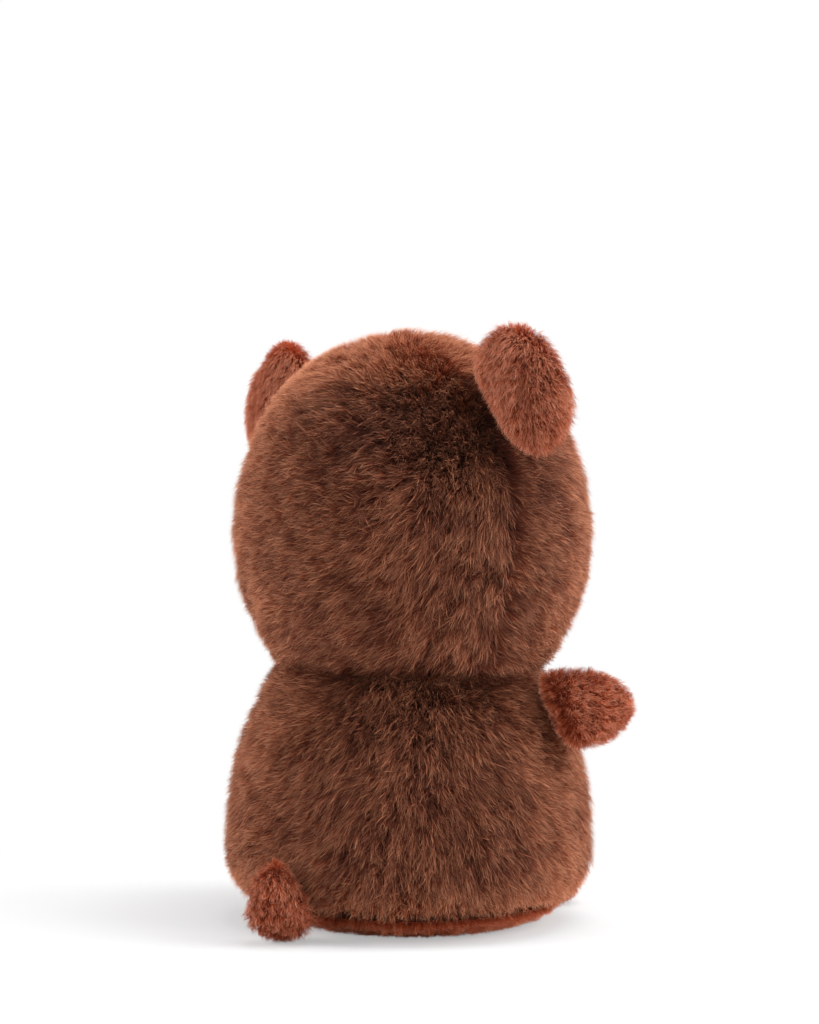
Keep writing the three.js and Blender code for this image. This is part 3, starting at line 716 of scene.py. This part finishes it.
def growCoat(name, body, skin, coat, keep, flow, shade, rise, nodes):
    # Long pile has its down as a piece of its own, because together they would have too many faces.
    kind = 'brown' if coat is longCoat else 'rust'
    rules = (skin, coat, pileDepth[kind], keep, flow, shade, rise)
    strands, down = growStrands(*rules), growDown(*rules)
    made = {f'{name}_pile': strands, f'{name}_down': down}
    if kind == 'rust':
        down = (down[0], down[1] + len(strands[0]), down[2])
        made = {f'{name}_pile': [np.concatenate(pair) for pair in zip(strands, down)]}
    for label, (points, triangles, uv) in made.items():
        points[:, 2] = np.maximum(points[:, 2], 0.05)  # nothing goes into the floor
        piece = linkMesh(label, points, triangles, pile[kind], uv)
        fitPiece(piece, body, nodes)
        faceCount.append(len(triangles))
        print(label, len(triangles), 'triangles')


def roundPlace(p):
    # the angle round the bear from the camera's side, positive to the right, and the level direction round it
    angle = np.arctan2(p @ toRight, p @ toCamera)
    return angle, np.cos(angle)[:, None] * toRight - np.sin(angle)[:, None] * toCamera


def seamDip(p, size):
    # 1 on a seam, falling to 0 about two millimetres off it, in uneven patches
    back = np.where(p[:, 1] > size['sideSeam'], np.exp(-(p[:, 0] / 1.3) ** 2), 0)
    sides = np.exp(-((p[:, 1] - size['sideSeam']) / 1.3) ** 2)
    dip = np.maximum(back, sides)
    return dip * np.clip(0.3 + 1.3 * patchNoise(p, 7, 3), 0, 1)


# A radius turns an angle into millimetres round the bear, and low and high are where the pile ends.
headPile = dict(radius=43, low=62.6, high=200, parting=22, turnsOver=34, lean=74, upright=(2, 118),
                uprightSize=(34, 14))
bodyPile = dict(radius=44, low=9.0, high=61.5, parting=6, turnsOver=40, lean=60)


def fanFlow(angle, level, rule):
    # Straight down at the parting, leaning more and more to the left and right of it, and down again at the
    # bear's other side. The lean is a number of degrees from straight down.
    share = np.tanh((rule['radius'] * angle - rule['parting']) / rule['turnsOver'])
    share *= 1 - 0.8 * eased(np.abs(angle), 1.2, 2.0)
    lean = np.radians(rule['lean']) * share
    return level * np.sin(lean)[:, None] - upward * np.cos(lean)[:, None]


def unevenly(p, size, seed):
    # an arrow at each point that wanders over patches of that size
    return np.stack([patchNoise(p, size, seed + k) for k in range(3)], -1)


def headFlow(p, n):
    # on the back fanned from the parting and more upright in a patch high up, on the face forward
    # and down, all with wandering arrows added
    angle, level = roundPlace(p)
    around, z = headPile['radius'] * angle, p[:, 2]
    q = p @ headAxes.T
    back = fanFlow(angle, level, headPile)
    (middleAround, middleLevel), (wide, low) = headPile['upright'], headPile['uprightSize']
    zone = np.exp(-(((around - middleAround) / wide) ** 2 + (np.minimum(z - middleLevel, 0) / low) ** 2))
    back = back * (1 - 0.5 * zone)[:, None]
    face = np.array([0, -0.8, -0.6]) @ headAxes + 0 * p
    arrow = np.where(q[:, 1:2] > headSize['sideSeam'], back, face)
    return arrow + 0.3 * unevenly(p, 9, 11) + 0.25 * unevenly(p, 3.5, 71)


def headShade(p, n):
    # darkest in a wide patch above the middle of the back, paler to the sides and over the crown: painted
    # shade and light over patches of tone
    angle, level = roundPlace(p)
    around, z = headPile['radius'] * angle, p[:, 2]
    shade = 0.34 + 0.14 * patchNoise(p, 7, 21) + 0.16 * patchNoise(p, 2.8, 22)
    # painted shade of the whorl, where the pile points towards the camera
    shade -= 0.2 * np.exp(-(((around - 6) / 32) ** 2 + ((z - 117) / 14) ** 2))
    q = p @ headAxes.T
    # paler to the sides as seen from the camera and over the crown: painted light of the side and top lamps
    shade += 0.24 * eased(-around, 22, 50) + 0.2 * eased(around, 30, 50) + 0.82 * eased(z, 126, 136)
    # paler along the upper left outline as seen from the camera: a painted rim light
    shade += 0.2 * eased(-around, 36, 56) * eased(z, 100, 118)
    # stronger fine patches to the sides as seen from the camera: painted glints of the side light
    shade += 0.16 * eased(np.abs(around), 22, 42) * patchNoise(p, 1.6, 25)
    # darker on the seams and just above the neck crease: painted shade in the grooves
    return shade - 0.24 * seamDip(q, headSize) - 0.22 * eased(69 - z, 0, 6)


def headRise(p, n):
    # higher over the crown and in tufts, lower on the seams and short round the eyes
    q = p @ headAxes.T
    toEye = np.hypot(np.abs(q[:, 0]) - eyeSize['spacing'] / 2, q[:, 2] - neckHeight - eyeSize['rise'])
    parted = np.where(q[:, 1] < 0, 0.35 + 0.65 * eased(toEye, 3.5, 8), 1)
    angle = roundPlace(p)[0]
    crown = eased(p[:, 2], 122, 134) * eased(-angle, -0.4, 0.5) * (0.3 + 0.3 * patchNoise(p, 3.5, 35))
    tufts = 0.12 * patchNoise(p, 5, 31) + 0.16 * patchNoise(p, 2.4, 33)
    return (1 - 0.35 * seamDip(q, headSize)) * (1 + crown + tufts) * parted


def bodyFlow(p, n):
    # on the back fanned from the parting, on the belly down and forward, with wandering arrows added
    angle, level = roundPlace(p)
    back = fanFlow(angle, level, bodyPile)
    belly = np.array([0, -0.35, -1.0]) + 0 * p
    arrow = np.where(p[:, 1:2] > bodySize['sideSeam'], back, belly)
    arrow = arrow + 0.3 * unevenly(p, 9, 14) + 0.25 * unevenly(p, 3.5, 74)
    return arrow * (0.45 + 0.55 * eased(p[:, 2:3], 7, 18))  # stands off at the hem, so that the base shows


def bodyShade(p, n):
    # paler to the sides and towards the hem, darker on the seams and under the head: painted light and shade
    # over patches of tone
    angle, level = roundPlace(p)
    around, z = bodyPile['radius'] * angle, p[:, 2]
    shade = 0.29 + 0.13 * patchNoise(p, 7, 23) + 0.16 * patchNoise(p, 2.8, 24)
    # paler to the sides as seen from the camera: painted side light; paler towards the hem: painted light
    # bounced up from the floor
    shade += 0.28 * eased(-around, 20, 46) + 0.28 * eased(around, 18, 42) + 0.46 * eased(-z, -20, -8)
    # stronger fine patches to the sides as seen from the camera: painted glints of the side light
    shade += 0.16 * eased(np.abs(around), 20, 40) * patchNoise(p, 1.6, 26)
    # darker on the seams and under the head: painted shade in the seams' grooves and the neck crease
    return shade - 0.22 * seamDip(p, bodySize) - 0.2 * eased(z, 58, 61.5)


def nearArm(p):
    # 0 at the middle of an arm's root, 1 at its edge, more further off
    seat, a = np.array(armSize['seat']), np.radians(armSize['heading'])
    q = np.abs(p[:, :1]) * [1, 0, 0] + p * [0, 1, 1] - seat
    across = -q[:, 0] * np.sin(a) + q[:, 1] * np.cos(a)
    return np.hypot(across / armSize['halfWidth'], q[:, 2] / (armSize['halfHeight'] + 1))


def bodyRise(p, n):
    # lower on the seams, where the sewn line draws the pile in, and meeting the pile of the arms
    tufts = 0.1 * patchNoise(p, 5, 32) + 0.16 * patchNoise(p, 2.4, 34)
    return (1 - 0.35 * seamDip(p, bodySize)) * (1 + tufts) * (1 + 0.12 * eased(-nearArm(p), -1.3, -1))


def between(low, high):
    # keeps the roots between two levels
    return lambda p: (p[:, 2] > low) & (p[:, 2] < high)


def onPanel(label, rule, size, axes):
    # keeps the roots on one panel of a cover, the one that the label names
    def keep(p):
        q = p @ axes.T
        onSide = ((q[:, 1] > size['sideSeam']) == ('back' in label)) & ((q[:, 0] > 0) == ('left' in label))
        return between(rule['low'], rule['high'])(p) & onSide
    return keep


for label, node in (('back_left', 'back_panel_left'), ('back_right', 'back_panel_right'),
                    ('belly_left', 'belly_panel'), ('belly_right', 'belly_panel')):
    keep = onPanel(label, bodyPile, bodySize, np.eye(3))
    growCoat(label, 'body', bodySkin, longCoat, keep, bodyFlow, bodyShade, bodyRise, [node])
for label, node in (('head_back_left', 'head_back_left'), ('head_back_right', 'head_back_right'),
                    ('face_left', 'face_panel'), ('face_right', 'face_panel')):
    keep = onPanel(label, headPile, headSize, headAxes)
    growCoat(label, None, headSkin, longCoat, keep, headFlow, headShade, headRise, [node])
print('long pile grown')


def rustShade(seed, level):
    # one level, with patches of two sizes added
    def shade(p, n):
        return level + 0.12 * patchNoise(p, 3.5, seed) + 0.1 * patchNoise(p, 1.5, seed + 1)
    return shade


def evenRise(p, n):
    # the full depth, with small patches added
    return 1 + 0.12 * patchNoise(p, 2.5, 41)


def localFlow(origin, axes, rule):
    # a flow written in the piece's own frame
    def flow(p, n):
        return rule(inFrame(p, origin, axes)) @ axes + 0.22 * unevenly(p, 4, 17)
    return flow


earPile = dict(middle=2, width=16.5, reach=12.5)  # where the pile turns up towards the rim


def earRule(sign):
    # down over the inner part, along towards the lower end past the crease, up and out at the rim
    def rule(q):
        x, y = -sign * q[:, 0], q[:, 1]
        wing = eased(creasePlace(q[:, 0], y, sign) - earCrease['place'], -1.2, 1)
        rim = eased(np.hypot(x / earPile['width'], (y - earPile['middle']) / earPile['reach']), 0.78, 1)
        along = 0.75 + 0.25 * wing + 0.15 * rim * np.sign(x)
        arrow = np.stack([-sign * along, -0.75 * (1 - wing) + 0.1 * rim, 0 * x], -1)
        return arrow * (0.1 + 0.9 * eased(earOut(q), -2, 2))[:, None]
    return rule


def earShade(origin, axes):
    # paler towards the rim and on the flat of the back, darker along the crease and past it: a painted
    # highlight on the rim and painted shade in the crease and on the fold past it
    def shade(p, n):
        q = inFrame(p, origin, axes)
        sign = 1 if origin[0] > 0 else -1
        y = (q[:, 1] - earPile['middle']) / (earSize['reach'] - earPile['middle'])
        rim = eased(np.hypot(q[:, 0] / earSize['halfWidth'], y), 0.6, 0.95)
        past = creasePlace(q[:, 0], q[:, 1], sign) - earCrease['place']
        fold, lobe = np.exp(-(past / 1.1) ** 2), eased(past, -1, 2)
        patches = 0.09 * patchNoise(p, 4, 53) + 0.07 * patchNoise(p, 1.5, 54)
        # the rim term is a painted highlight; the fold and lobe terms are painted shade in the crease and
        # over the fold past it
        return 0.6 + 0.07 * sign + 0.2 * rim - 0.26 * fold - 0.12 * lobe + patches
    return shade


def outsideBody(p):
    # a point is outside where it lies further out than the wall of the body at its level and angle
    power = bodySize['planPower'] / 2
    depth = np.where(p[:, 1] > 0, bodySize['back'], bodySize['front'])
    x, y = p[:, 0] / bodySize['halfWidth'], p[:, 1] / depth
    angle = np.arctan2(signedPower(y, power), signedPower(x, power))
    wall = roundPoint(bodySize, angle, np.clip(p[:, 2], -2, 80), 3.0)
    return np.hypot(p[:, 0], p[:, 1]) > np.hypot(wall[:, 0], wall[:, 1])


def limbOut(size):
    # how far a point of an arm or the tail lies from the middle of its sloping sewn end
    return lambda q: q[:, 0] - size['slope'] * q[:, 2]


def earOut(q):
    # how far a point of an ear lies out from just inside its sewn base
    return q[:, 1] + 1.5


def armRule(q):
    # along to the tip and a little down, and nearly upright round the sewn end
    waves = np.sin(q[:, 0] * 0.9 + q[:, 2] * 0.5)
    along = np.stack([0.8 + 0 * waves, 0 * waves, -0.2 + 0.16 * waves], -1)
    return along * (0.3 + 0.7 * eased(limbOut(armSize)(q), -4, 2))[:, None]


def seatedRise(origin, axes, out):
    # longer round the sewn end of a limb or an ear, so that its pile and that of the body or head meet
    def rise(p, n):
        return evenRise(p, n) * (1 + 0.35 * eased(-out(inFrame(p, origin, axes)), -1, 3))
    return rise


def footRule(q):
    # outwards from the middle and a little down
    return q * [0.06, 0.08, 0.02] - [0, 0, 0.4]


def tailRule(q):
    # down, and a little out towards the tip
    return 0 * q + [0.35, 0, -0.9]


def baseFlow(p, n):
    # level, out from the middle, and a little down
    return unit(p * [1, 1, 0]) - upward * 0.4


aboveFloor = between(0.6, 200)


def growRust(name, coat, keep, rule, shade, out=None):
    # the pile of one of the skins, longer round the sewn end where out is given
    skin, origin, axes, body, nodes = skins[name]
    growCoat(name, body, skin, coat, keep, localFlow(origin, axes, rule), shade,
             seatedRise(origin, axes, out) if out else evenRise, nodes)


for side, sign in sides.items():
    growRust(f'{side}_arm', shortCoat, aboveFloor, armRule, rustShade(51, 0.64), limbOut(armSize))
    shade = earShade(*skins[f'{side}_ear'][1:3])
    growRust(f'{side}_ear', earCoat, aboveFloor, earRule(sign), shade, earOut)
    growRust(f'{side}_foot', shortCoat, lambda p: outsideBody(p) & aboveFloor(p), footRule,
             rustShade(55, 0.42))

growRust('tail', shortCoat, aboveFloor, tailRule, rustShade(57, 0.46), limbOut(tailSize))
# the base's high level is painted light that lifts it out of the shade where it faces down
growCoat('base', 'body', baseSkin, baseCoat, between(0.7, 5.05), baseFlow, rustShade(59, 1.05), evenRise,
         ['base_panel'])


def offStitches(p):
    # the front of the muzzle, without the patch under the nose and a narrow way for the mouth
    x, y, z = (p @ headAxes.T - muzzleMiddle).T
    size, arch, margin = noseThread, mouthThread['arch'], 0.3
    nose = np.hypot(x / (size['halfWidth'] + margin), (z - size['above']) / (size['halfHeight'] + margin))
    below = z - mouthTop + arch
    mouth = np.abs(np.hypot(np.abs(x) - arch, below) - arch) + 3 * np.clip(below, 0, None)
    return (y + muzzleMiddle[1] < muzzleSize['pileEnd']) & (nose > 1) & (mouth > 0.7)


def muzzleRule(q):
    # outwards from the nose
    return (q - upward * noseThread['above']) * [0.1, 0, 0.1]


growRust('muzzle', shortCoat, offStitches, muzzleRule, rustShade(61, 0.5))
print('short pile grown,', sum(faceCount), 'triangles in all, at most', max(faceCount))

# eyes, nose and mouth


def makeGlossMaterial(name, colour, roughness):
    # moulded plastic: smooth, with faint flow marks and a slightly uneven gloss
    n = newMaterial(name)
    noise = n.pattern('TexNoise', in_Scale=900.0, in_Detail=3.0)
    gloss = n.add('MapRange', in_To_Min=roughness * 0.7, in_To_Max=roughness * 1.4)
    n.link(noise.outputs['Fac'], gloss.inputs['Value'])
    paler = [min(255, c + 10) for c in colour]
    tint = n.ramp(noise.outputs['Fac'], [(0.35, linear(*colour)), (0.7, linear(*paler))])
    return n.surface(tint, gloss.outputs['Result'], n.bump(noise.outputs['Fac'], 0.03, 0.0002), in_IOR=1.42)


def makeThreadMaterial(name, dark, pale):
    # embroidery thread: fine uneven fibres, with a silky shine
    n = newMaterial(name)
    noise = n.pattern('TexNoise', in_Scale=2600.0, in_Detail=4.0, in_Roughness=0.6)
    colour = n.ramp(noise.outputs['Fac'], [(0.3, linear(*dark)), (0.75, linear(*pale))])
    return n.surface(colour, 0.5, n.bump(noise.outputs['Fac'], 0.35, 0.0001), in_Sheen_Weight=0.05,
                     in_Specular_IOR_Level=0.35)


eyePlastic = makeGlossMaterial('eye_plastic', (10, 6, 5), 0.1)
washerPlastic = makeGlossMaterial('washer_plastic', (226, 226, 221), 0.42)
darkThread = makeThreadMaterial('dark_thread', (16, 9, 8), (40, 24, 20))

for side, sign in sides.items():
    size = eyeSize
    x, z = sign * size['spacing'] / 2, neckHeight + size['rise']
    step = 0.05
    seat = np.array([x, frontDepth(headSize, x, z), z])
    slopeX = (frontDepth(headSize, x + step, z) - frontDepth(headSize, x - step, z)) / (2 * step)
    slopeZ = (frontDepth(headSize, x, z + step) - frontDepth(headSize, x, z - step)) / (2 * step)
    facing = unit(np.array([slopeX, -1.0, slopeZ]))
    # half a flattened ball with a rounded rim, on a stem that goes back through the face
    turn = np.linspace(0.12, np.pi / 2, 12)
    rim = np.linspace(0.15, 1, 5) * np.pi / 2
    stem, edge = size['stemRadius'], size['edge']
    radius = np.concatenate([size['radius'] * np.sin(turn), size['radius'] - edge * (1 - np.cos(rim)),
                             np.linspace(size['radius'] - 0.8, stem, 4), np.full(3, stem)])
    level = np.concatenate([size['dome'] * np.cos(turn), -edge * np.sin(rim), np.full(4, -edge - 0.03),
                            np.linspace(-1.2, -size['stemEnd'] + size['seatDepth'] + 0.3, 3)])
    angle = circle(40)
    sideways = unit(np.cross(facing, upward))
    ring = np.cos(angle)[:, None] * sideways + np.sin(angle)[:, None] * np.cross(sideways, facing)
    centre = seat - facing * size['seatDepth']
    rings = centre + radius[:, None, None] * ring[None] + level[:, None, None] * facing
    points, triangles = closedSurface(rings, centre + facing * size['dome'],
                                      centre - facing * (size['stemEnd'] - size['seatDepth'] - 0.3))
    piece = linkMesh(f'{side}_eye_button', points @ headAxes, facingOut(points, triangles), eyePlastic)
    fitPiece(piece, 'head', [f'{side}_eye'])
print('eyes made')


def onMuzzle(x, z, rise):
    # the front of the muzzle, level distance x and height z from its middle, grown by rise
    size = muzzleSize
    across, up = x / (size['halfWidth'] + rise), z / (size['halfHeight'] + rise)
    depth = (size['halfLength'] + rise) * np.sqrt(np.clip(1 - across ** 2 - up ** 2, 0, None))
    return muzzleMiddle + np.stack([x, -depth, z], -1)


def tubeMesh(paths, radius, sides, ply=0.0, turn=0.0):
    # round tubes along paths (tubes, rings, 3). With ply the section is two-lobed and turns along the tube by
    # turn radians a millimetre, as two strands twisted together.
    count, rings = paths.shape[:2]
    tangent = unit(np.gradient(paths, axis=1))
    across = unit(np.cross(tangent, [0.0, -1, 0]))
    out = np.cross(across, tangent)
    step = np.linalg.norm(np.diff(paths, axis=1), axis=2)
    along = np.concatenate([np.zeros((count, 1)), np.cumsum(step, 1)], 1)[..., None]
    angle = circle(sides)
    size = (radius[..., None] * (1 - ply + ply * np.cos(2 * (angle - turn * along))))[..., None]
    ring = np.cos(angle)[..., None] * across[:, :, None] + np.sin(angle)[..., None] * out[:, :, None]
    rows = paths[:, :, None] + size * ring
    made = [closedSurface(rows[k], paths[k, 0], paths[k, -1]) for k in range(count)]
    starts = np.cumsum([0] + [len(m[0]) for m in made])
    return (np.concatenate([m[0] for m in made]),
            np.concatenate([facingOut(*m) + start for m, start in zip(made, starts)]))


# nose: upright satin stitches side by side over a low pad
size = noseThread
x = np.linspace(-1, 1, size['threads'])[:, None] * (size['halfWidth'] - size['radius'])
half = size['halfHeight'] * np.sqrt(1 - (x / size['halfWidth']) ** 2) * (1 + rng.normal(0, 0.025, x.shape))
t = np.linspace(-1, 1, 15)[None, :]
z = size['above'] + half * np.sin(t * np.pi / 2)
share = (z - size['above']) / (half + 0.02)
rise = -0.5 + (0.5 + size['bulge']) * np.sqrt(np.clip(1 - share ** 2, 0, 1)) + 0 * x
x = x + 0.03 * np.sin(np.arange(size['threads'])[:, None] * 2.3) + 0 * z
points, triangles = tubeMesh(onMuzzle(x, z, rise), np.full(x.shape, size['radius']), 7)
nose = linkMesh('nose_stitches', points @ headAxes, triangles, darkThread)
fitPiece(nose, 'head', ['nose_embroidery'])

# mouth: one upright stitch that parts into two curved ones
size = mouthThread
arch, top = size['arch'], mouthTop
t = np.linspace(0, 1, 46)
paths = [(0 * t, top + 0.5 - (arch + 0.5) * t)]
for sign in (-1, 1):
    paths.append((sign * arch * (1 - np.cos(np.pi * t * 0.97)), top - arch - arch * np.sin(np.pi * t * 0.97)))
x, z = np.array(paths).transpose(1, 0, 2)
rise = (0.35 - 0.9 * (eased(-t, -0.12, 0) + eased(t, 0.9, 1)))[None] + 0 * x
radius = size['radius'] * (1 - 0.5 * (eased(-t, -0.08, 0) + eased(t, 0.94, 1)))[None] + 0 * x
points, triangles = tubeMesh(onMuzzle(x, z, rise), radius, 12, 0.16, size['turn'])
mouth = linkMesh('mouth_thread', points @ headAxes, triangles, darkThread)
fitPiece(mouth, 'head', ['mouth_stitches'])
print('nose and mouth made')

# what is inside


def makeFillMaterial(name, dark, pale, scale, crimp):
    # loose crimped fibre: cloudy tufts under a net of fine stretched lines
    n = newMaterial(name)
    tufts = n.pattern('TexNoise', in_Scale=scale, in_Detail=6.0, in_Roughness=0.65)
    lines = n.add('TexVoronoi', feature='DISTANCE_TO_EDGE', in_Scale=scale * crimp)
    bent = n.add('VectorMath', operation='ADD')
    n.link(n.add('TexCoord').outputs['Object'], bent.inputs[0])
    shift = n.add('VectorMath', operation='SCALE')
    n.link(tufts.outputs['Color'], shift.inputs[0])
    shift.inputs['Scale'].default_value = 0.6 / scale
    n.link(shift.outputs[0], bent.inputs[1])
    n.link(bent.outputs[0], lines.inputs['Vector'])
    height = n.step('SUBTRACT', tufts.outputs['Fac'], lines.outputs['Distance'])
    colour = n.ramp(height, [(0.2, linear(*dark)), (0.6, linear(*pale))])
    return n.surface(colour, 0.9, n.bump(height, 0.6, 0.0006), in_Sheen_Weight=0.2)


def makeWovenMaterial(name, dark, pale, pitch):
    # plain weave: two sets of bands, one across the other, pitch apart in metres
    n = newMaterial(name)
    bands = [n.pattern('TexWave', bands_direction=direction, in_Scale=0.314 / pitch,
                       in_Distortion=0.6, in_Detail=1.0) for direction in 'XY']
    weave = n.step('MULTIPLY', bands[0].outputs['Fac'], bands[1].outputs['Fac'])
    colour = n.ramp(weave, [(0.0, linear(*dark)), (0.7, linear(*pale))])
    return n.surface(colour, 0.85, n.bump(weave, 0.5, 0.0002))


def makePelletMaterial(name, across):
    # round plastic pellets, packed: one rounded cell each, a little different in tone
    n = newMaterial(name)
    cells = n.pattern('TexVoronoi', in_Scale=1 / across, in_Randomness=0.7)
    tone = n.add('SeparateColor')
    n.link(cells.outputs['Color'], tone.inputs[0])
    colour = n.ramp(tone.outputs[0], [(0.0, linear(196, 198, 196)), (1.0, linear(232, 233, 230))])
    dome = n.step('SUBTRACT', 1.0, cells.outputs['Distance'])
    return n.surface(colour, 0.35, n.bump(dome, 1.0, 0.0012))


fibrefill = cloth['fibrefill'] = makeFillMaterial('fibrefill', (196, 192, 186), (240, 238, 233), 220.0, 3.0)

# The filling of the head is a closed skin of its own just inside its cover.
fillSkin = headRounded(pileDepth['brown'] + 1.2, neckHeight + 1.2)
sewSkin('head_filling', None, fillSkin, 'fibrefill', ['head_stuffing'])
calico = makeWovenMaterial('calico', (176, 160, 132), (226, 214, 190), 0.0005)
pellets = makePelletMaterial('pellets', 0.003)
inside = {name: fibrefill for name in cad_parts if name.endswith('stuffing') and name != 'head_stuffing'}
inside.update({f'{side}_eye_washer': washerPlastic for side in sides})
inside.update(pellet_bag_top=calico, pellet_bag_bottom=calico, pellet_fill=pellets)
for name, material in inside.items():
    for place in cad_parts[name].material_slots:
        place.material = material
print('inner materials made:', len(inside), 'nodes')
